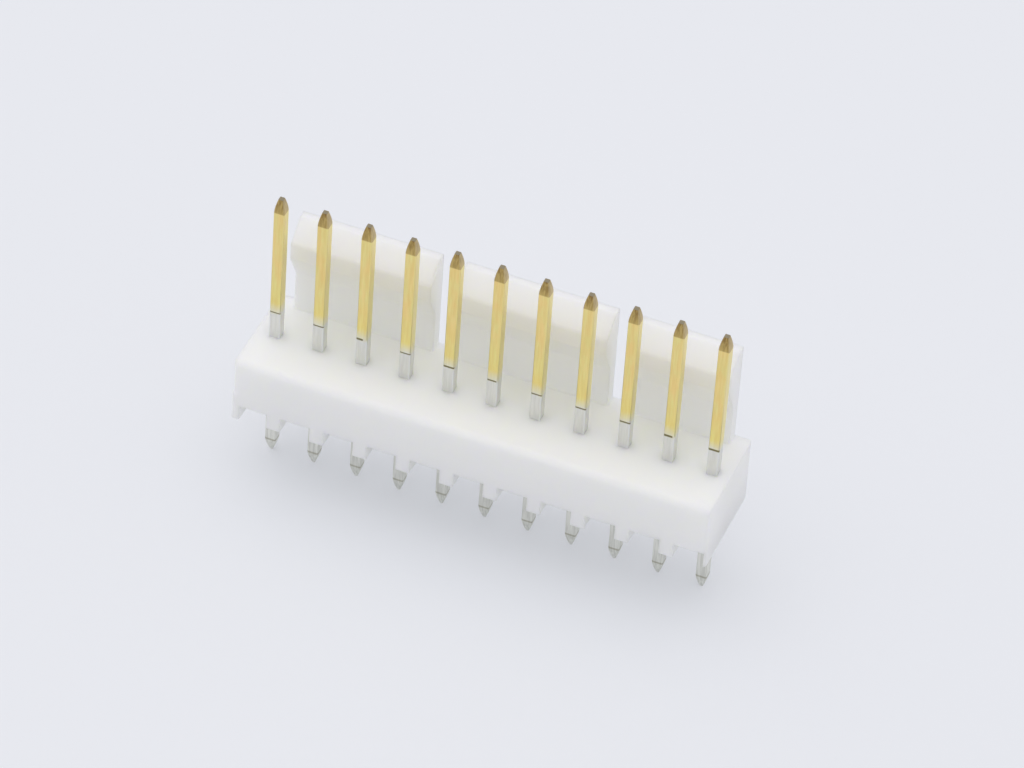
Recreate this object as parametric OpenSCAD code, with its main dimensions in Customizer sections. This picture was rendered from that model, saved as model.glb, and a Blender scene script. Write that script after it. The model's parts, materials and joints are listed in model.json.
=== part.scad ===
// Friction-lock pin header: one row of square posts pressed through a moulded housing.
// Millimetres. The origin is on the board plane, under the middle of the row.
// X runs along the row, -Y is the open front, +Y is the lock wall, +Z is along the posts.

/* [Post row] */
// Number of posts in the row
pin_count = 11; // [5:1:24]
// Distance between the axes of two neighbouring posts
pitch = 2.54; // [2.3:0.01:4]
// Side of the square post
pin_w = 0.64; // [0.5:0.01:0.8]
// Height of the posts above the base
post_h = 9.6; // [8:0.1:14]
// Length of the solder tails below the board plane
tail_l = 4.3; // [2.5:0.1:6]
// Gap between a post and each side of its hole, zero for the press fit
hole_gap = 0; // [0:0.01:0.05]

/* [Post ends] */
// Length of the taper at a post's top
tip_l = 0.85; // [0.6:0.05:1.4]
// Side of the small flat that ends a post
tip_flat = 0.28; // [0.15:0.01:0.4]
// Length of the taper at a tail's end
tail_tip_l = 0.9; // [0.5:0.05:1.4]
// Side of the small flat that ends a tail
tail_tip_flat = 0.15; // [0.1:0.01:0.4]
// How strongly the tapers bulge, 1 for a straight taper
taper_bulge = 1.5; // [1:0.1:2.5]
// Height above the base of the scored line across a post's front
score_h = 1.79; // [1:0.01:4]
// Width and depth of the scored line
score_w = 0.06; // [0.03:0.01:0.1]

/* [Base] */
// Height of the base, from the board to its top face
base_h = 4.05; // [3:0.05:6]
// Distance from the posts' axes to the front face
front_y = 3.05; // [2.4:0.05:4]
// Distance from the posts' axes to the rear face
rear_y = 3.2; // [2.6:0.05:4]
// Radius of the long top edge at the front
front_r = 0.4; // [0.1:0.05:1]
// Radius of the upright corner edges
corner_r = 0.2; // [0.05:0.05:0.4]
// Gap from the left end to the next header's cell, when headers stand end to end at one pitch
left_gap = 0.02; // [0:0.01:0.3]
// The same gap at the right end
right_gap = 0.25; // [0:0.01:0.3]
// How far the left end face is set back above its tab
tab_out = 0.1; // [0.05:0.01:0.4]
// Height of the tab above the board
tab_h = 1.75; // [1.3:0.05:2.5]

/* [Feet] */
// Height of the ribs that lift the base off the board
rib_h = 0.95; // [0.5:0.05:1.2]
// Width of the ribs between the posts
rib_w = 0.8; // [0.4:0.05:1.2]
// Width of the rib at the left end
left_foot_w = 0.5; // [0.3:0.05:0.7]
// Width of the rib at the right end
right_foot_w = 0.15; // [0.1:0.05:0.4]

/* [Lock wall] */
// Height of the wall above the base
wall_h = 6.3; // [5:0.05:9]
// Thickness of the wall below its ramp
wall_t = 0.8; // [0.6:0.05:1]
// Posts in front of each segment of the wall, counted from the left
posts_per_segment = 4; // [2:1:8]
// Width of the slots between the segments
slot_w = 1.38; // [0.6:0.02:1.8]
// How far the ramp's nose stands out of the wall towards the posts
nose_out = 0.9; // [0.4:0.05:1]
// Height of the lead-in ramp, from the nose up to the top of the wall
ramp_h = 1; // [0.6:0.05:1.5]
// Height of the nose's upright face
nose_face_h = 1.05; // [0.6:0.05:1.3]
// Height over which the underside slopes from the nose back to the wall
undercut_h = 1.65; // [0.8:0.05:2]
// Depth of the flat land along the top of the wall
top_land = 0.5; // [0.2:0.05:0.6]
// Radius over the top of the nose
nose_r = 0.3; // [0.1:0.05:0.6]
// Radius under the nose
nose_under_r = 0.3; // [0.1:0.05:0.6]

/* [Hidden] */
function pin_name(i) = str("pin_", i < 10 ? "0" : "", i);

// Steps in each rounded corner, and in each post's taper
arc_steps = 8;
taper_steps = 4;
// Overlap that lets a cut run clear of the face that it opens
cut_over = 0.5;

row_l = pitch * (pin_count - 1);
// Places of the two ends of the base
left_x = left_gap - pitch / 2 - row_l / 2;
right_x = row_l / 2 + pitch / 2 - right_gap;
// Half the length of the lock wall, which ends at the axes of the outer posts
wall_x = row_l / 2;
wall_y = rear_y - wall_t;
nose_y = wall_y - nose_out;

function pin_x(i) = (i - 1) * pitch - row_l / 2;
function unit(v) = v / norm(v);

// Arc of radius r in place of the corner p, whose neighbours in the outline are a and b
function fillet(a, p, b, r) =
    let (
        u = unit(a - p),
        v = unit(b - p),
        half = acos(u * v) / 2,
        centre = p + unit(u + v) * r / sin(half),
        from = p + u * r / tan(half) - centre,
        to = p + v * r / tan(half) - centre
    )
    [for (i = [0 : arc_steps]) centre + r * unit(from + (to - from) * i / arc_steps)];

// Edge of a taper: it leaves the shoulder along the post and leans in towards the flat
function taper(shoulder_w, flat_w, length) =
    [for (i = [0 : taper_steps])
        let (t = i / taper_steps)
        [shoulder_w / 2 - (shoulder_w - flat_w) / 2 * pow(t, taper_bulge), length * t]];

function reversed(points) = [for (i = [len(points) - 1 : -1 : 0]) points[i]];

// Carries a Y-Z outline along X, from x0 to x1
module along_row(x0, x1) {
    translate([x0, 0, 0])
        rotate([90, 0, 90])
            linear_extrude(x1 - x0)
                children();
}

// Y-Z outline of the base, with its rounded front edge
module base_outline() {
    front_low = [-front_y, 0];
    front_top = [-front_y, base_h];
    rear_top = [rear_y, base_h];
    polygon(concat(
        [front_low],
        fillet(front_low, front_top, rear_top, front_r),
        [rear_top, [rear_y, 0]]
    ));
}

// X-Y outline of the base from x0 to its right end, with rounded upright corners
module base_plan(x0) {
    corners = [[x0, -front_y], [right_x, -front_y], [right_x, rear_y], [x0, rear_y]];
    polygon([for (i = [0 : 3])
        each fillet(corners[(i + 3) % 4], corners[i], corners[(i + 1) % 4], corner_r)]);
}

// Channels under the base: one at each post, between the ribs
module channels() {
    for (i = [1 : pin_count]) {
        x0 = i == 1 ? left_x + left_foot_w : pin_x(i) - (pitch - rib_w) / 2;
        x1 = i == pin_count ? right_x - right_foot_w : pin_x(i) + (pitch - rib_w) / 2;
        translate([x0, -front_y - cut_over, -cut_over])
            cube([x1 - x0, front_y + rear_y + 2 * cut_over, rib_h + cut_over]);
    }
}

module base() {
    difference() {
        intersection() {
            along_row(left_x, right_x)
                base_outline();
            union() {
                linear_extrude(tab_h)
                    base_plan(left_x);
                linear_extrude(base_h)
                    base_plan(left_x + tab_out);
            }
        }
        channels();
    }
}

// Y-Z outline of the wall and of the ramp that holds a mating plug down
module wall_outline() {
    top = base_h + wall_h;
    land = [rear_y - top_land, top];
    nose_high = [nose_y, top - ramp_h];
    nose_low = [nose_y, nose_high[1] - nose_face_h];
    foot = [wall_y, nose_low[1] - undercut_h];
    polygon(concat(
        [[rear_y, rib_h], [wall_y, rib_h], foot],
        fillet(foot, nose_low, nose_high, nose_under_r),
        fillet(nose_low, nose_high, land, nose_r),
        [land, [rear_y, top]]
    ));
}

module lock_wall() {
    difference() {
        along_row(-wall_x, wall_x)
            wall_outline();
        for (i = [posts_per_segment : posts_per_segment : pin_count - 1])
            translate([pin_x(i) + (pitch - slot_w) / 2, nose_y - cut_over, base_h])
                cube([slot_w, rear_y - nose_y + 2 * cut_over, wall_h + cut_over]);
    }
}

module housing() {
    hole_w = pin_w + 2 * hole_gap;
    color("whitesmoke")
        difference() {
            union() {
                base();
                lock_wall();
            }
            for (i = [1 : pin_count])
                translate([pin_x(i) - hole_w / 2, -hole_w / 2, 0])
                    cube([hole_w, hole_w, base_h + cut_over]);
        }
}

// Outline of a post seen from one side, the same from the front as from the end
module pin_outline() {
    top = [for (p = taper(pin_w, tip_flat, tip_l)) [p[0], base_h + post_h - tip_l + p[1]]];
    tail = [for (p = taper(pin_w, tail_tip_flat, tail_tip_l)) [p[0], tail_tip_l - tail_l - p[1]]];
    right = concat(reversed(tail), top);
    polygon(concat(right, [for (p = reversed(right)) [-p[0], p[1]]]));
}

module pin(i) {
    color("gold")
        translate([pin_x(i), 0, 0])
            difference() {
                intersection() {
                    along_row(-pin_w / 2, pin_w / 2)
                        pin_outline();
                    rotate([0, 0, 90])
                        along_row(-pin_w / 2, pin_w / 2)
                            pin_outline();
                }
                translate([-pin_w, -pin_w / 2 - cut_over, base_h + score_h - score_w / 2])
                    cube([2 * pin_w, cut_over + score_w, score_w]);
            }
}

housing();
for (i = [1 : pin_count])
    pin(i);
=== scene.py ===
# %% [markdown]
# # A friction-lock pin header, dressed for its portrait
# The part is an upright board header: eleven square posts pressed through a white nylon moulding, with a
# slotted lock wall behind them. The CAD model already holds every size, so this lesson only gives the
# pieces their look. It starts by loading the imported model, because each piece made here has to lie where
# the CAD says. Lengths are in metres, as Blender counts them, and X runs along the row of posts.

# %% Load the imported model
import json
import math

import bmesh
import bpy
import numpy as np
from mathutils import Matrix, Vector


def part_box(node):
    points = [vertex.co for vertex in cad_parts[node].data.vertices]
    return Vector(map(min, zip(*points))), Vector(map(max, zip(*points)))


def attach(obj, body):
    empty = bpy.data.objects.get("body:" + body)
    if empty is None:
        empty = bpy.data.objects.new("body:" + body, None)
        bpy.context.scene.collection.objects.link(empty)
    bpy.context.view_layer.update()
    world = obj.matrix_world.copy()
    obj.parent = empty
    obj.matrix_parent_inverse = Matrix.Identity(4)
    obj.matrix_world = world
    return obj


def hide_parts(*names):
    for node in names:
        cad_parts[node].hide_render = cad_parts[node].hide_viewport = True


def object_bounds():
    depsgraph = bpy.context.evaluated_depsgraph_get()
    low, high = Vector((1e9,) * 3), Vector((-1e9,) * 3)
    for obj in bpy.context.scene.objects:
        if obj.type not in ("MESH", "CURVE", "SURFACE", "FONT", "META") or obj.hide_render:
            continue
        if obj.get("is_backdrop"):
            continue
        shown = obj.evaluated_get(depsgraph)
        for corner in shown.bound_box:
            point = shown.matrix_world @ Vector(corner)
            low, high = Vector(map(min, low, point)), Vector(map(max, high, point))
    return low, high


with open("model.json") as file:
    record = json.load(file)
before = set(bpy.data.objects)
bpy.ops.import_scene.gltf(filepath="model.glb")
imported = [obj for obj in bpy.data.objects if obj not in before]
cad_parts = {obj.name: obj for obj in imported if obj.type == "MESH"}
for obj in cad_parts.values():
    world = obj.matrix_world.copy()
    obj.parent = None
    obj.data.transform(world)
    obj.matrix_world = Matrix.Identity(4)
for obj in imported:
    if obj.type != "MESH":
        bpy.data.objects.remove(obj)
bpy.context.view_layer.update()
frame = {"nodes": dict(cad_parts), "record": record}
MM = 0.001

# %% [markdown]
# ## Where things are
# The record gives the top face of the base, as the place where the mating plug meets it, and each post's
# box gives its axis, its side and its two ends. They could be typed in again, but a number that is read
# from the frame follows the CAD when a size changes there.

# %% Places taken from the frame
mounts = {m["name"]: np.array(m["pos_m"]) for m in frame["record"]["mounts"]}
base_top = mounts["mating_posts"][2]
post_names = sorted(name for name in frame["nodes"] if name.startswith("pin_"))
post_boxes = {name: np.array(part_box(name)) for name in post_names}
first_low, first_high = post_boxes[post_names[0]]
post_side = first_high[0] - first_low[0]
post_pitch = post_boxes[post_names[1]][0][0] - first_low[0]
tail_end = first_low[2]
post_end = first_high[2]
print(len(post_names), "posts,", round(post_side / MM, 3), "mm square")
print("the base's top face is at", round(base_top / MM, 3), "mm")

# %% [markdown]
# ## The camera
# A camera can be placed by eye or by fitting. Here it was fitted: the tips, feet and score lines of the
# posts have known places on the part, and the one camera that puts all of them where the photograph
# shows them has a long lens, looks down at about 42 degrees and is rolled by a few degrees. The values
# are kept as angles and a distance from a target point, which are easier to read than a matrix.

# %% Camera values
camera_azimuth = math.radians(19.406)
camera_elevation = math.radians(41.675)
camera_roll = math.radians(4.215)
camera_distance = 0.34326
camera_lens = 224.74
sensor_width = 36.0
nearest_seen, furthest_seen = 0.01, 50.0
camera_target = np.array([0.674 * MM, 0.96 * MM, base_top + 0.788 * MM])
print("the camera looks down by", round(math.degrees(camera_elevation), 1), "degrees")

# %% Place the camera
def camera_axes(azimuth, elevation, roll):
    """Unit vectors of a camera: it looks along forward = (-sin a cos e, cos a cos e, -sin e), right0 is
    level at (cos a, sin a, 0), up0 = right0 x forward, and the roll turns right and up about forward."""
    forward = np.array([
        -math.sin(azimuth) * math.cos(elevation),
        math.cos(azimuth) * math.cos(elevation),
        -math.sin(elevation),
    ])
    level = np.array([math.cos(azimuth), math.sin(azimuth), 0.0])
    upright = np.cross(level, forward)
    right = level * math.cos(roll) + upright * math.sin(roll)
    up = upright * math.cos(roll) - level * math.sin(roll)
    return right, up, forward


def add_camera():
    right, up, forward = camera_axes(camera_azimuth, camera_elevation, camera_roll)
    place = camera_target - forward * camera_distance
    data = bpy.data.cameras.new("camera")
    data.lens = camera_lens
    data.sensor_width = sensor_width
    data.clip_start = nearest_seen
    data.clip_end = furthest_seen
    camera = bpy.data.objects.new("camera", data)
    matrix = np.eye(4)
    matrix[:3, 0] = right
    matrix[:3, 1] = up
    matrix[:3, 2] = -forward
    matrix[:3, 3] = place
    camera.matrix_world = Matrix(matrix.tolist())
    bpy.context.scene.collection.objects.link(camera)
    bpy.context.scene.camera = camera
    return camera


camera = add_camera()
print("camera at", [round(v / MM, 1) for v in camera.location], "mm")

# %% [markdown]
# ## From arrays to a mesh
# A post is a grid of points, ring after ring up its height. Blender's from_pydata takes such points with
# a list of faces. One helper works out the faces for any number of rings, and another makes a mesh into
# an object that rides on the part, so that neither has to be written again for each post.

# %% Mesh helpers
def ring_faces(rings, around):
    """Quads between neighbouring rings, wound so that they face out, and one face on each end."""
    start = np.arange(rings - 1)[:, None] * around
    here = np.arange(around)[None, :]
    after = (here + 1) % around
    quads = np.stack([start + here, start + after, start + around + after, start + around + here], -1)
    low_end = list(range(around))[::-1]
    high_end = list(range((rings - 1) * around, rings * around))
    return quads.reshape(-1, 4).tolist() + [low_end, high_end]


def add_piece(name, points, faces, material):
    """Makes a mesh piece that rides on the part's one body and gives it the material it is handed."""
    mesh = bpy.data.meshes.new(name)
    mesh.from_pydata(np.asarray(points).reshape(-1, 3).tolist(), [], faces)
    mesh.materials.append(material)
    mesh.shade_smooth()
    piece = bpy.data.objects.new(name, mesh)
    bpy.context.scene.collection.objects.link(piece)
    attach(piece, "root")
    return piece


print("two rings of four points are closed by", len(ring_faces(2, 4)), "faces")

# %% [markdown]
# ## A short way to write node trees
# A node tree made in code takes three lines for each node: make it, set it, link it. A small pen class
# takes them together, so a material reads like a sum. Colours are written as a screen shows them, from 0
# to 255, and turned into the linear light that the shaders work in.

# %% Colour and node helpers
def shade(red, green, blue):
    """Linear colour from the 0 to 255 values that a screen shows."""
    v = np.array([red, green, blue]) / 255.0
    linear = np.where(v <= 0.04045, v / 12.92, ((v + 0.055) / 1.055) ** 2.4)
    return (*linear.tolist(), 1.0)


class Nodes:
    """A small pen for node trees: add() makes a node and fills its inputs with values or links."""

    def __init__(self, tree):
        self.tree = tree

    def add(self, kind, inputs=None, **settings):
        node = self.tree.nodes.new(kind)
        for key, value in settings.items():
            setattr(node, key, value)
        for key, value in (inputs or {}).items():
            self.fill(node.inputs[key], value)
        return node

    def fill(self, socket, value):
        if isinstance(value, bpy.types.NodeSocket):
            self.tree.links.new(value, socket)
        else:
            socket.default_value = value

    def math(self, operation, a, b=0.0):
        return self.add("ShaderNodeMath", {0: a, 1: b}, operation=operation).outputs[0]

    def mix(self, factor, a, b):
        node = self.add("ShaderNodeMix", {0: factor, 6: a, 7: b}, data_type="RGBA")
        return node.outputs[2]


def new_material(name):
    material = bpy.data.materials.new(name)
    material.use_nodes = True
    material.node_tree.nodes.clear()
    return material, Nodes(material.node_tree)


print("screen grey 188 is", round(shade(188, 188, 188)[0], 3), "in linear light")

# %% [markdown]
# ## Grain, once for every material
# Nylon, plated wire and paper all have a fine unevenness, only of another size and stretch: a moulding
# is dappled, and drawn wire is streaked along its length. One node group makes it for all of them. It
# reads a position in metres, divides it by the size of the grain, and gives back a value around 0.5.

# %% The grain group
def make_grain_group():
    """Noise around 0.5, read at Position divided by Size, and divided by Stretch as well along Z."""
    group = bpy.data.node_groups.new("fine_grain", "ShaderNodeTree")
    group.interface.new_socket(name="Position", in_out="INPUT", socket_type="NodeSocketVector")
    for name in ("Size", "Stretch"):
        group.interface.new_socket(name=name, in_out="INPUT", socket_type="NodeSocketFloat")
    group.interface.new_socket(name="Grain", in_out="OUTPUT", socket_type="NodeSocketFloat")
    pen = Nodes(group)
    given = pen.add("NodeGroupInput").outputs
    across = pen.math("DIVIDE", 1.0, given["Size"])
    along = pen.math("DIVIDE", across, given["Stretch"])
    scale = pen.add("ShaderNodeCombineXYZ", {0: across, 1: across, 2: along}).outputs[0]
    place = pen.add("ShaderNodeVectorMath", {0: given["Position"], 1: scale}, operation="MULTIPLY")
    noise = pen.add("ShaderNodeTexNoise", {"Vector": place.outputs[0], "Scale": 1.0, "Detail": 3.0})
    result = pen.add("NodeGroupOutput")
    pen.fill(result.inputs["Grain"], noise.outputs[0])
    return group


grain_group = make_grain_group()
print("group", grain_group.name, "with", len(grain_group.nodes), "nodes")

# %% [markdown]
# ## A mask between two heights
# Most of what changes on this part changes along the posts: gold, tin, tapers, cut ends and lines. A
# colour ramp could hold all of the borders at once, but then one border can't be softer than another. A
# small group that fades in at one height and out at the next is easier to reason about, and to reuse.

# %% The band group
def make_band_group():
    """Mask that is 1 where Height lies between Low and High, with edges that fade over Soft."""
    group = bpy.data.node_groups.new("height_band", "ShaderNodeTree")
    for name in ("Height", "Low", "High", "Soft"):
        group.interface.new_socket(name=name, in_out="INPUT", socket_type="NodeSocketFloat")
    group.interface.new_socket(name="Mask", in_out="OUTPUT", socket_type="NodeSocketFloat")
    pen = Nodes(group)
    given = pen.add("NodeGroupInput").outputs
    half = pen.math("MULTIPLY", given["Soft"], 0.5)
    edges = []
    for limit in ("Low", "High"):
        before = pen.math("SUBTRACT", given[limit], half)
        after = pen.math("ADD", given[limit], half)
        ramp = pen.add(
            "ShaderNodeMapRange",
            {"Value": given["Height"], "From Min": before, "From Max": after},
            interpolation_type="SMOOTHSTEP",
        )
        edges.append(ramp.outputs[0])
    result = pen.add("NodeGroupOutput")
    pen.fill(result.inputs["Mask"], pen.math("SUBTRACT", edges[0], edges[1]))
    return group


band_group = make_band_group()
print("group", band_group.name, "with", len(band_group.nodes), "nodes")


# %% Place the groups in a material
def grain(pen, position, size, stretch=1.0):
    node = pen.add("ShaderNodeGroup", node_tree=grain_group)
    for key, value in (("Position", position), ("Size", size), ("Stretch", stretch)):
        pen.fill(node.inputs[key], value)
    return node.outputs["Grain"]


def band(pen, height, low, high, soft):
    node = pen.add("ShaderNodeGroup", node_tree=band_group)
    for key, value in (("Height", height), ("Low", low), ("High", high), ("Soft", soft)):
        pen.fill(node.inputs[key], value)
    return node.outputs["Mask"]


print("groups ready:", [group.name for group in bpy.data.node_groups])

# %% [markdown]
# ## The nylon
# The housing is natural white nylon. It is a little translucent, so its edges glow and its shadows are
# warm, and its surface is matt from the mould. Plain diffuse white would look like plaster. Subsurface
# scattering over a millimetre or two gives the glow, and two sizes of grain give the dapple. Light also
# runs round an edge inside the nylon, so the edges look softer than they are cut. The Bevel node turns
# the shading a little way round each of them.

# %% Nylon material
nylon_colour = shade(254, 255, 253)
nylon_shaded = shade(252, 254, 250)
nylon_scatter = 1.7 * MM
nylon_soft_edge, soft_edge_samples = 0.18 * MM, 6
dapple_size, pore_size = 1.6 * MM, 0.12 * MM
nylon_smoothest, nylon_roughest = 0.5, 0.66
pore_share, pore_depth = 0.12, 0.01 * MM


def make_nylon():
    material, pen = new_material("nylon_moulding")
    position = pen.add("ShaderNodeTexCoord").outputs["Object"]
    dapple = grain(pen, position, dapple_size)
    pores = grain(pen, position, pore_size)
    colour = pen.mix(dapple, nylon_colour, nylon_shaded)
    rough = pen.add("ShaderNodeMapRange", {
        "Value": pores, "To Min": nylon_smoothest, "To Max": nylon_roughest,
    }).outputs[0]
    soft_edge = pen.add("ShaderNodeBevel", {"Radius": nylon_soft_edge}, samples=soft_edge_samples)
    bump = pen.add("ShaderNodeBump", {
        "Height": pores, "Strength": pore_share, "Distance": pore_depth, "Normal": soft_edge.outputs[0],
    })
    shader = pen.add("ShaderNodeBsdfPrincipled", {
        "Base Color": colour,
        "Roughness": rough,
        "Normal": bump.outputs[0],
        "IOR": 1.5,
        "Specular IOR Level": 0.2,
        "Subsurface Weight": 0.9,
        "Subsurface Radius": (1.0, 1.05, 0.85),
        "Subsurface Scale": nylon_scatter,
    })
    pen.add("ShaderNodeOutputMaterial", {"Surface": shader.outputs[0]})
    return material


nylon = make_nylon()
print("material", nylon.name, "scatters over", round(nylon_scatter / MM, 2), "mm")

# %% [markdown]
# ## The plated wire
# A post is one piece of brass wire with two finishes. Its mating end is gold, and its foot and tail are
# tin. The gold grows paler and more lemon downwards, and fades out a little above a thin score line. The
# coined tapers are duller and browner than the drawn sides, and the cut end shows bare metal. All of that
# follows the height along the post, so masks on the Object coordinate's Z place it, and no texture has to
# be unwrapped. The posts stand at one pitch, so X wrapped by the pitch tells the two side faces from the
# front. Those sides get a paler colour, a painted sheen that stands in for the light they reflect.

# %% Heights of the finishes
tip_length = 0.85 * MM
tail_tip_length = 0.9 * MM
score_height = base_top + 1.79 * MM
score_width = 0.06 * MM
gold_start = score_height + 0.42 * MM
gold_fade = 0.85 * MM
lemon_length = 2.6 * MM
taper_start = post_end - tip_length
tail_taper_start = tail_end + tail_tip_length
cut_depth = 0.015 * MM
far = 100 * MM
print("gold from", round((gold_start - base_top) / MM, 2), "mm above the base")

# %% Colours of the wire
gold_warm = shade(247, 219, 147)
gold_cool = shade(241, 227, 153)
gold_streak = shade(233, 203, 124)
# Pale gold: the breath of gold above the score line, and the painted sheen that pales the drawn sides
pale_gold_and_side_sheen = shade(244, 233, 172)
gold_lemon = shade(242, 229, 144)
gold_coined = shade(204, 180, 114)
gold_coined_dark = shade(140, 110, 66)
# Painted sheen: the paler colour of the coined tapers' sides
coined_side_sheen = shade(222, 208, 172)
cut_metal = shade(160, 148, 122)
tin_bright = shade(230, 230, 226)
tin_streak = shade(223, 223, 218)
tin_tail = shade(237, 237, 229)
tin_tail_streak = shade(216, 216, 208)
# Painted shade of the tin where a post meets the housing
tin_foot_shade = shade(224, 224, 221)
# Painted shade for the score lines and the creases of the tails
line_shade_colour = shade(136, 128, 92)
print("gold in linear light:", [round(v, 2) for v in gold_warm[:3]])


# %% Masks across a post
# Where the painted sheen of the sides begins, in shares of half a post's side
side_sheen_begins = 0.7


def spread(pen, value, low, high):
    """Stretches a value so that low becomes 0 and high becomes 1."""
    return pen.add("ShaderNodeMapRange", {"Value": value, "From Min": low, "From Max": high}).outputs[0]


def share_of(pen, value, share):
    return pen.math("MULTIPLY", value, share)


def post_x(pen, position):
    """Place across a post, measured from the axis of the nearest one."""
    x = pen.add("ShaderNodeSeparateXYZ", {0: position}).outputs[0]
    ends = {0: x, 1: post_pitch / 2, 2: -post_pitch / 2}
    return pen.add("ShaderNodeMath", ends, operation="WRAP").outputs[0]


def side_sheen_mask(pen, position):
    """Mask that is 1 on the two faces that look along the row, and falls to 0 a little way in from the
    corners of the front and the back. It places the painted sheen that makes the sides paler. It is |x|
    divided by the larger of |x| and |y|, with x measured from the nearest post's axis."""
    y = pen.add("ShaderNodeSeparateXYZ", {0: position}).outputs[1]
    across, deep = pen.math("ABSOLUTE", post_x(pen, position)), pen.math("ABSOLUTE", y)
    share = pen.math("DIVIDE", across, pen.math("MAXIMUM", across, deep))
    limits = {"Value": share, "From Min": side_sheen_begins, "From Max": 1.0}
    return pen.add("ShaderNodeMapRange", limits, interpolation_type="SMOOTHSTEP").outputs[0]


# The side's finish in this print is the painted sheen of the side faces
print("a side's finish begins", round(side_sheen_begins * post_side / 2 / MM, 3), "mm from a post's middle")

# %% [markdown]
# ## Drawn wire
# Wire is pulled through a die, which leaves fine streaks along it, and its plating has faint patches. An
# image of brushed metal would need unwrapping, and would repeat. The grain group serves again, stretched
# a lot for the streaks and a little for the patches. The patches also make the border between the gold
# and the tin wander.

# %% Grain along the wire
streak_size, streak_stretch = 0.09 * MM, 14.0
patch_size, patch_stretch = 0.5 * MM, 3.0
streak_low, streak_high = 0.36, 0.64
patch_low, patch_high = 0.35, 0.65
border_wander = 0.2 * MM


def wire_grain(pen, position):
    """Two values from 0 to 1: fine streaks drawn along the wire, and patches a few times wider."""
    streaks = spread(pen, grain(pen, position, streak_size, streak_stretch), streak_low, streak_high)
    patches = spread(pen, grain(pen, position, patch_size, patch_stretch), patch_low, patch_high)
    return streaks, patches


print("a streak is about", round(streak_size * streak_stretch / MM, 2), "mm long")

# %% [markdown]
# ## Lines and creases
# A thin line is scored across the front of each post, and a crease shows where a tail's taper starts. The
# groove is in the mesh, but it is only a few hundredths of a millimetre wide, and light alone would hardly
# show it. A narrow band of darker colour in the same place does: painted shade in the groove. The crease
# gets the same painted shade. The score's mask reads from each post's mesh how far the line goes and how
# thick it is.

# %% The lines across a post
line_soft, front_soft, reach_soft = 0.05 * MM, 0.02 * MM, 0.08 * MM
# The crease's share is how dark its painted shade gets
crease_half, crease_soft, crease_shade_share = 0.05 * MM, 0.12 * MM, 0.6


def score_mask(pen, position, height, depth):
    """Mask of the painted shade in the scored line: on the front face, within its thickness, and out to
    its reach.
    """
    reach = pen.add("ShaderNodeAttribute", attribute_name="score_reach").outputs["Fac"]
    weight = pen.add("ShaderNodeAttribute", attribute_name="score_weight").outputs["Fac"]
    half = share_of(pen, share_of(pen, weight, score_width), 0.5)
    above = pen.math("SUBTRACT", height, score_height)
    is_level = band(pen, above, share_of(pen, half, -1.0), half, line_soft)
    on_front = band(pen, depth, -far, score_width - post_side / 2, front_soft)
    reached = band(pen, post_x(pen, position), -far, share_of(pen, reach, post_side), reach_soft)
    return share_of(pen, share_of(pen, on_front, is_level), reached)


def crease_shade_mask(pen, height):
    """Mask of the painted shade in the crease where a tail's taper starts."""
    low, high = tail_taper_start - crease_half, tail_taper_start + crease_half
    return share_of(pen, band(pen, height, low, high, crease_soft), crease_shade_share)


print("score line", round(score_width / MM, 2), "mm wide, crease", round(2 * crease_half / MM, 2), "mm")

# %% [markdown]
# ## Tin and gold
# Both platings lie on one wire and meet in a soft border. Two materials would give that border a hard edge
# along the faces of the mesh. One material that mixes the two by height keeps it soft, and each plating
# has its own function here, so that it can be read and changed by itself.

# %% Colour of the tin and the gold
tail_soft = 1.5 * MM
# Heights of the painted shade at a post's foot
foot_low, foot_high, foot_soft = base_top - 0.2 * MM, base_top + 0.25 * MM, 0.5 * MM
tint_soft, tint_share = 0.3 * MM, 0.4
# The last share is how much painted sheen the drawn side faces take
lemon_share, streak_share, side_sheen_share = 0.8, 0.35, 0.7


def tin_colour(pen, height, plating_height, streaks):
    """Drawn tin, duller on the tails, with painted shade at the foot where the post meets the housing,
    and a breath of gold above the score line.
    """
    is_tail = band(pen, height, -far, 0.0, tail_soft)
    bright = pen.mix(is_tail, tin_bright, tin_tail)
    streaked = pen.mix(is_tail, tin_streak, tin_tail_streak)
    is_tinted = share_of(pen, band(pen, plating_height, score_height, far, tint_soft), tint_share)
    tinted = pen.mix(is_tinted, pen.mix(streaks, bright, streaked), pale_gold_and_side_sheen)
    # Painted shade: the tin is darker where the post meets the housing
    return pen.mix(band(pen, height, foot_low, foot_high, foot_soft), tinted, tin_foot_shade)


def gold_colour(pen, plating_height, streaks, patches, side_sheen):
    """Gold in warm and cool patches, lemon towards its lower end and streaked. The sides are paler, as a
    painted sheen.
    """
    risen = spread(pen, plating_height, gold_start, gold_start + lemon_length)
    is_low = share_of(pen, pen.math("SUBTRACT", 1.0, risen), lemon_share)
    gold = pen.mix(is_low, pen.mix(patches, gold_warm, gold_cool), gold_lemon)
    gold = pen.mix(share_of(pen, streaks, streak_share), gold, gold_streak)
    # Painted sheen: the side faces are made paler
    return pen.mix(share_of(pen, side_sheen, side_sheen_share), gold, pale_gold_and_side_sheen)


print("lemon gold over", round(lemon_length / MM, 1), "mm")

# %% [markdown]
# ## Coined tapers
# The tapers are pressed in a tool, which leaves their gold duller and browner, most of all towards the
# end. That could be painted on one post. A share that grows up the taper and follows the streaks does it
# for all of them, and stays in its place when the taper's length changes.

# %% Colour of the coined tapers
coined_soft, cut_soft = 0.08 * MM, 0.01 * MM
rubbed_least, rubbed_more = 0.3, 0.7
# The side share is how much painted sheen the coined sides take
coined_streak_share, coined_side_sheen_share = 0.3, 0.45


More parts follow.
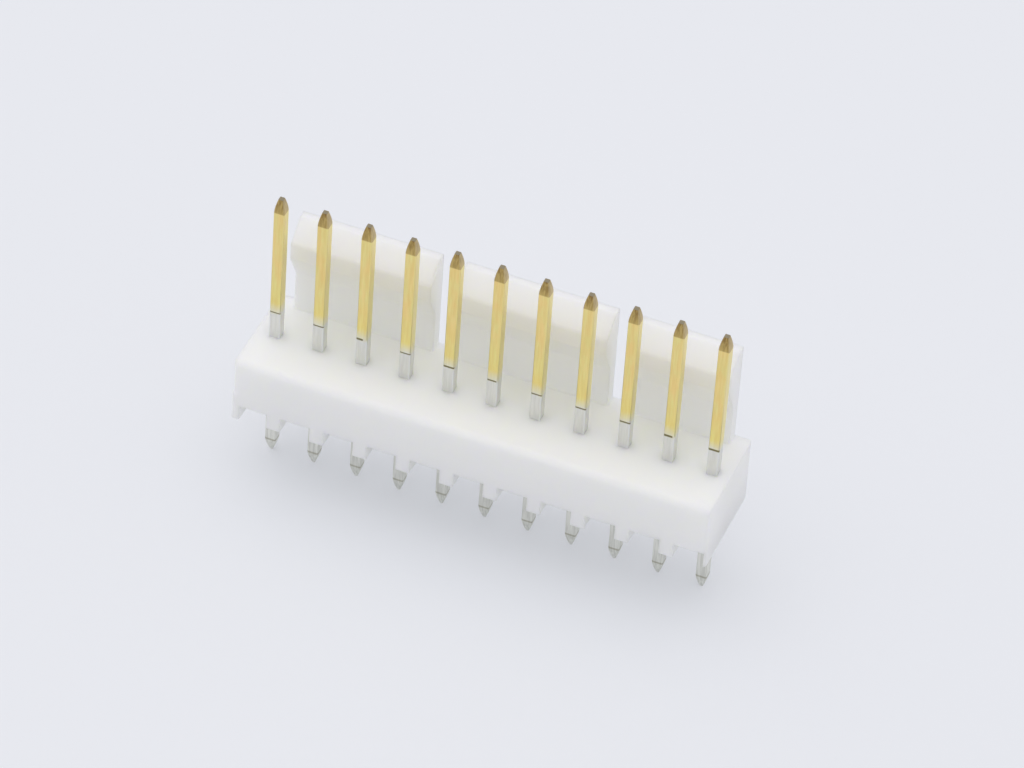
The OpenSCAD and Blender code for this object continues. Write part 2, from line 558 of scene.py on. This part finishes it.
def coined_colour(pen, height, streaks, side_sheen):
    """Gold pressed brown by the coining tool: darker up the taper and in streaks. Its sides are paler, as
    a painted sheen.
    """
    rubbed = pen.math("ADD", share_of(pen, streaks, rubbed_more), rubbed_least)
    up_taper = spread(pen, height, taper_start, post_end)
    coined = pen.mix(share_of(pen, up_taper, rubbed), gold_coined, gold_coined_dark)
    coined = pen.mix(share_of(pen, streaks, coined_streak_share), coined, gold_coined_dark)
    # Painted sheen on the sides of the coined taper
    return pen.mix(share_of(pen, side_sheen, coined_side_sheen_share), coined, coined_side_sheen)


print("coined over the top", round(tip_length / MM, 2), "mm")

# %% Plated wire material
wire_smoothest, wire_roughest, coined_rougher = 0.35, 0.45, 0.08
streak_bump, streak_depth = 0.06, 0.002 * MM


def make_wire():
    material, pen = new_material("plated_wire")
    position = pen.add("ShaderNodeTexCoord").outputs["Object"]
    _, depth, height = pen.add("ShaderNodeSeparateXYZ", {0: position}).outputs
    streaks, patches = wire_grain(pen, position)
    # Mask of the side faces, where a painted sheen makes the gold paler
    side_sheen = side_sheen_mask(pen, position)
    wander = share_of(pen, pen.math("SUBTRACT", patches, 0.5), border_wander)
    plating_height = pen.math("ADD", height, wander)

    tin = tin_colour(pen, height, plating_height, streaks)
    gold = gold_colour(pen, plating_height, streaks, patches, side_sheen)
    coined = coined_colour(pen, height, streaks, side_sheen)
    is_gold = band(pen, plating_height, gold_start, far, gold_fade)
    is_coined = band(pen, height, taper_start, far, coined_soft)
    is_cut = band(pen, height, post_end - cut_depth, far, cut_soft)
    finish = pen.mix(is_cut, pen.mix(is_coined, pen.mix(is_gold, tin, gold), coined), cut_metal)
    # Painted shade in the score lines and in the creases of the tails
    lines = pen.math("MAXIMUM", score_mask(pen, position, height, depth), crease_shade_mask(pen, height))

    drawn = pen.add("ShaderNodeMapRange", {
        "Value": streaks, "To Min": wire_smoothest, "To Max": wire_roughest,
    }).outputs[0]
    bump = pen.add("ShaderNodeBump", {
        "Height": streaks, "Strength": streak_bump, "Distance": streak_depth,
    })
    shader = pen.add("ShaderNodeBsdfPrincipled", {
        "Base Color": pen.mix(lines, finish, line_shade_colour),
        "Metallic": 1.0,
        "Roughness": pen.math("ADD", drawn, share_of(pen, is_coined, coined_rougher)),
        "Normal": bump.outputs[0],
    })
    pen.add("ShaderNodeOutputMaterial", {"Surface": shader.outputs[0]})
    return material


wire = make_wire()
print("material", wire.name, "with", len(wire.node_tree.nodes), "nodes")

# %% [markdown]
# ## The housing
# The moulding could be drawn again from profiles, but a second drawing of the same form could drift from
# the first. So this piece is a copy of the CAD mesh. Its loose triangles are merged and its flat faces
# are joined, and then every sharp edge is rounded a little, because a mould is never cut to a perfectly
# sharp corner and a rounded edge catches the light. The wire fills its holes, so the copy closes them:
# otherwise light that scatters in the nylon would leave by their walls and draw a pale ring around each
# post. The work is done in millimetres and scaled back, since the bevel's own tolerances are too coarse
# for a part that is 0.03 metres long.

# %% Close the posts' holes
# How near to a post's axis the wall of its hole lies at most, in shares of the post's side
hole_reach = 0.6


def at_a_post(place):
    """Whether a point lies on the wall of a post's hole."""
    across = (place.x + post_pitch / 2) % post_pitch - post_pitch / 2
    return max(abs(across), abs(place.y)) < post_side * hole_reach


def close_holes(bm):
    """Takes the walls of the holes away and puts one face over each rim."""
    walls = [f for f in bm.faces if all(at_a_post(v.co * MM) for v in f.verts)]
    bmesh.ops.delete(bm, geom=walls, context="FACES")
    rims = [e for e in bm.edges if e.is_boundary]
    bmesh.ops.holes_fill(bm, edges=rims, sides=0)
    print("took away", len(walls), "triangles of hole wall and closed", len(rims), "rim edges")


print("a hole's wall lies within", round(hole_reach * post_side / MM, 2), "mm of a post's axis")

# %% Round the housing's edges
edge_round = 0.05
edge_steps = 2
merge_distance = 0.001
sharp_angle = math.radians(28)
flat_angle = math.radians(0.5)


def rounded_copy(node, name, material):
    bm = bmesh.new()
    bm.from_mesh(frame["nodes"][node].data)
    bmesh.ops.scale(bm, vec=(1 / MM,) * 3, verts=bm.verts)
    bmesh.ops.remove_doubles(bm, verts=bm.verts, dist=merge_distance)
    close_holes(bm)
    bmesh.ops.dissolve_limit(bm, angle_limit=flat_angle, verts=bm.verts, edges=bm.edges)
    sharp = [e for e in bm.edges if e.is_manifold and e.calc_face_angle() > sharp_angle]
    bmesh.ops.bevel(bm, geom=sharp, offset=edge_round, segments=edge_steps, profile=0.5,
                    affect="EDGES", clamp_overlap=True, loop_slide=True)
    bmesh.ops.scale(bm, vec=(MM,) * 3, verts=bm.verts)
    mesh = bpy.data.meshes.new(name)
    bm.to_mesh(mesh)
    open_edges = sum(not e.is_manifold for e in bm.edges)
    bm.free()
    mesh.materials.clear()
    mesh.materials.append(material)
    mesh.shade_smooth()
    piece = bpy.data.objects.new(name, mesh)
    bpy.context.scene.collection.objects.link(piece)
    even = piece.modifiers.new("even_shading", "WEIGHTED_NORMAL")
    even.keep_sharp = True
    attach(piece, "root")
    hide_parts(node)
    print(name, "has", len(mesh.polygons), "faces and", open_edges, "open edges")
    return piece


housing = rounded_copy("housing", "moulded_housing", nylon)

# %% [markdown]
# ## The posts
# A post is square wire with slightly rounded corners, tapered at both ends. It could be a cube with
# bevels, but then the bulge of the tapers and the scored line would need work by hand. Here it is a
# profile carried along the axis: a rounded square whose half-width is a function of height, with rings
# only where the form changes. The tool that scores the wire is worn, so each line has another reach and
# thickness. Two numbers on each mesh carry that to the one wire material. The rings at the shoulders and
# the ends are marked as crisp, because shading by angle alone would smooth the small crease where a taper
# starts.

# %% Post profile
corner_radius = 0.08 * MM
tip_flat = 0.28 * MM
tail_tip_flat = 0.15 * MM
taper_bulge = 1.5
taper_rings = 7
corner_steps = 3
print("a post narrows from", round(post_side / MM, 2), "to", round(tip_flat / MM, 2), "mm at its tip")


def half_width(height):
    """Half the side of a post at each height. It is half the wire's side between the two shoulders. On
    a taper of length L it is s/2 - (s - f)/2 * t^b, where t runs from 0 at the shoulder to 1 at the
    flat of side f, and b is the bulge."""
    t_top = np.clip((height - taper_start) / tip_length, 0, 1)
    t_tail = np.clip((tail_taper_start - height) / tail_tip_length, 0, 1)
    top_loss = (post_side - tip_flat) / 2 * t_top ** taper_bulge
    tail_loss = (post_side - tail_tip_flat) / 2 * t_tail ** taper_bulge
    return post_side / 2 - top_loss - tail_loss


def post_heights():
    share = np.linspace(0, 1, taper_rings)
    half_score = score_width / 2
    score = score_height + np.array([-half_score, -half_score / 3, half_score / 3, half_score])
    return np.concatenate([
        tail_end + share * tail_tip_length,
        score,
        taper_start + share * tip_length,
    ])


def post_points(centre_x):
    """Rings of a rounded square. With half-width h and corner radius r, a point is (h - r) times its
    corner's signs plus r times (cos a, sin a). The front is then cut back to the score's depth."""
    height = post_heights()
    half = half_width(height)
    radius = corner_radius * half / half.max()
    turn = np.linspace(0, np.pi / 2, corner_steps + 1)
    angle = (np.arange(4)[:, None] * np.pi / 2 + turn[None, :]).ravel()
    signs = np.repeat([[1, 1], [-1, 1], [-1, -1], [1, -1]], corner_steps + 1, axis=0)
    arc = np.stack([np.cos(angle), np.sin(angle)], -1)
    flat = (half - radius)[:, None, None] * signs[None] + radius[:, None, None] * arc[None]
    in_score = np.abs(height - score_height) < score_width / 4
    front = np.where(in_score, score_width - post_side / 2, -post_side)
    flat[:, :, 1] = np.maximum(flat[:, :, 1], front[:, None])
    points = np.empty((*flat.shape[:2], 3))
    points[:, :, 0] = centre_x + flat[:, :, 0]
    points[:, :, 1] = flat[:, :, 1]
    points[:, :, 2] = height[:, None]
    return points


print("a post has", len(post_heights()), "rings")


# %% Crisp rings and stored numbers
def crisp_rings(mesh, around, rings):
    """Marks the edges that lie along the given rings as sharp, so that the shading breaks there."""
    ends = np.empty(len(mesh.edges) * 2, int)
    mesh.edges.foreach_get("vertices", ends)
    ring = ends.reshape(-1, 2) // around
    crisp = (ring[:, 0] == ring[:, 1]) & np.isin(ring[:, 0], rings)
    attribute = mesh.attributes.new("sharp_edge", "BOOLEAN", "EDGE")
    attribute.data.foreach_set("value", crisp)


def write_value(mesh, name, value):
    """Stores one number on every point of a mesh, for a material to read."""
    attribute = mesh.attributes.new(name, "FLOAT", "POINT")
    attribute.data.foreach_set("value", np.full(len(mesh.vertices), value, np.float32))


print("score_reach and score_weight go from each mesh to the wire material")

# %% Make the posts
# How far each score line reaches, from the post's axis in shares of its side, and how thick it is
score_reaches = [0.6, 0.6, 0.12, 0.6, 0.6, 0.35, 0.6, 0.6, 0.6, 0.28, 0.6]
score_weights = [1.2, 1.3, 2.2, 1.3, 1.9, 1.6, 1.4, 1.5, 1.7, 2.3, 2.2]

posts = []
for count, name in enumerate(post_names):
    low, high = post_boxes[name]
    points = post_points((low[0] + high[0]) / 2)
    rings, around = points.shape[:2]
    post = add_piece(name.replace("pin", "post"), points, ring_faces(rings, around), wire)
    crisp_rings(post.data, around, [0, taper_rings - 1, rings - taper_rings, rings - 1])
    even = post.modifiers.new("even_shading", "WEIGHTED_NORMAL")
    even.keep_sharp = True
    write_value(post.data, "score_reach", score_reaches[count % len(score_reaches)])
    write_value(post.data, "score_weight", score_weights[count % len(score_weights)])
    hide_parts(name)
    posts.append(post)
print(len(posts), "posts of", rings, "rings by", around, "points")

# %% [markdown]
# ## The floor
# The header stands on its tails over a pale, faintly blue surface. A plane with a plain paper-like
# finish takes the soft shadow. More light would make it paler, but would burn out the nylon as well. So
# the camera, and the metal that mirrors the floor, see a third of it as its own even colour.

# %% Floor
paper_colour = shade(237, 238, 241)
backdrop_colour = shade(231, 234, 242)
glow_share = 0.33
floor_half = 1.5


def seen_mask(pen):
    """Mask that is 1 for rays that come from the camera, from a mirror or through glass."""
    path = pen.add("ShaderNodeLightPath").outputs
    seen = pen.math("MAXIMUM", path["Is Camera Ray"], path["Is Glossy Ray"])
    return pen.math("MAXIMUM", seen, path["Is Transmission Ray"])


def make_paper():
    material, pen = new_material("studio_paper")
    shader = pen.add("ShaderNodeBsdfPrincipled", {
        "Base Color": paper_colour,
        "Roughness": 0.7,
        "Specular IOR Level": 0.0,
    })
    glow = pen.add("ShaderNodeEmission", {"Color": backdrop_colour, "Strength": 1.0})
    share = share_of(pen, seen_mask(pen), glow_share)
    both = pen.add("ShaderNodeMixShader", {0: share, 1: shader.outputs[0], 2: glow.outputs[0]})
    pen.add("ShaderNodeOutputMaterial", {"Surface": both.outputs[0]})
    return material


def add_floor():
    corners = np.array([[-1, -1], [1, -1], [1, 1], [-1, 1]]) * floor_half
    points = [(x, y, tail_end) for x, y in corners]
    mesh = bpy.data.meshes.new("floor")
    mesh.from_pydata(points, [], [(0, 1, 2, 3)])
    mesh.materials.append(make_paper())
    floor = bpy.data.objects.new("floor", mesh)
    bpy.context.scene.collection.objects.link(floor)
    floor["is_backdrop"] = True
    return floor


floor = add_floor()
print(floor.name, "at", round(tail_end / MM, 2), "mm")

# %% [markdown]
# ## The light
# The photograph has broad soft light from above, with pale surroundings on every side. One lamp would
# draw a shadow with an edge, and an even sky would flatten the block. So the world is a sky that is
# bright overhead and dim at the horizon, but stronger beyond the two ends of the row, the left one a
# little more. A large weak lamp gathers the shadow. The level is plain, so that a colour renders about as
# it is written. Rays from the camera, and those that metal reflects, see the world as one pale colour
# close to the floor's.

# %% World and lamp
fill_colour = (0.995, 0.995, 1.02, 1.0)
zenith_strength = 1.1
horizon_strength = 0.125
side_strength = 0.39
left_strength = 0.07
lamp_side = 0.5
lamp_place = (-0.06, 0.0, 0.42)
lamp_power = 0.2


def make_world():
    """A sky whose strength goes from the horizon's to the zenith's with the height z of the direction,
    plus the sides' times x squared, less the left's times x."""
    world = bpy.data.worlds.new("studio")
    bpy.context.scene.world = world
    world.use_nodes = True
    world.node_tree.nodes.clear()
    pen = Nodes(world.node_tree)
    direction = pen.add("ShaderNodeTexCoord").outputs["Generated"]
    along, _, height = pen.add("ShaderNodeSeparateXYZ", {0: direction}).outputs
    overhead = pen.add("ShaderNodeMapRange", {
        "Value": height, "To Min": horizon_strength, "To Max": zenith_strength,
    }).outputs[0]
    sides = share_of(pen, pen.math("MULTIPLY", along, along), side_strength)
    sides = pen.math("SUBTRACT", sides, share_of(pen, along, left_strength))
    strength = pen.math("ADD", overhead, sides)
    fill = pen.add("ShaderNodeBackground", {"Color": fill_colour, "Strength": strength})
    backdrop = pen.add("ShaderNodeBackground", {"Color": backdrop_colour, "Strength": 1.0})
    both = pen.add("ShaderNodeMixShader", {0: seen_mask(pen), 1: fill.outputs[0], 2: backdrop.outputs[0]})
    pen.add("ShaderNodeOutputWorld", {"Surface": both.outputs[0]})
    return world


def add_lamp():
    data = bpy.data.lights.new("overhead", "AREA")
    data.shape = "SQUARE"
    data.size = lamp_side
    data.energy = lamp_power
    lamp = bpy.data.objects.new("overhead", data)
    lamp.location = lamp_place
    lamp.rotation_mode = "QUATERNION"
    lamp.rotation_quaternion = (-Vector(lamp_place)).to_track_quat("-Z", "Y")
    bpy.context.scene.collection.objects.link(lamp)
    return lamp


world, lamp = make_world(), add_lamp()
bpy.context.scene.view_settings.view_transform = "Standard"
print(lamp.name, "lamp of", lamp_power, "W over", lamp_side, "m")
print(world.name, "sky from", horizon_strength, "at the horizon to", zenith_strength, "overhead")

# %% [markdown]
# ## The last look at the sizes
# The dressed part should stay as large as the CAD model, so its box is printed here.

# %% Print the sizes
low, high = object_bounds()
print("visual box in mm:", [round(s / MM, 2) for s in (high - low)])
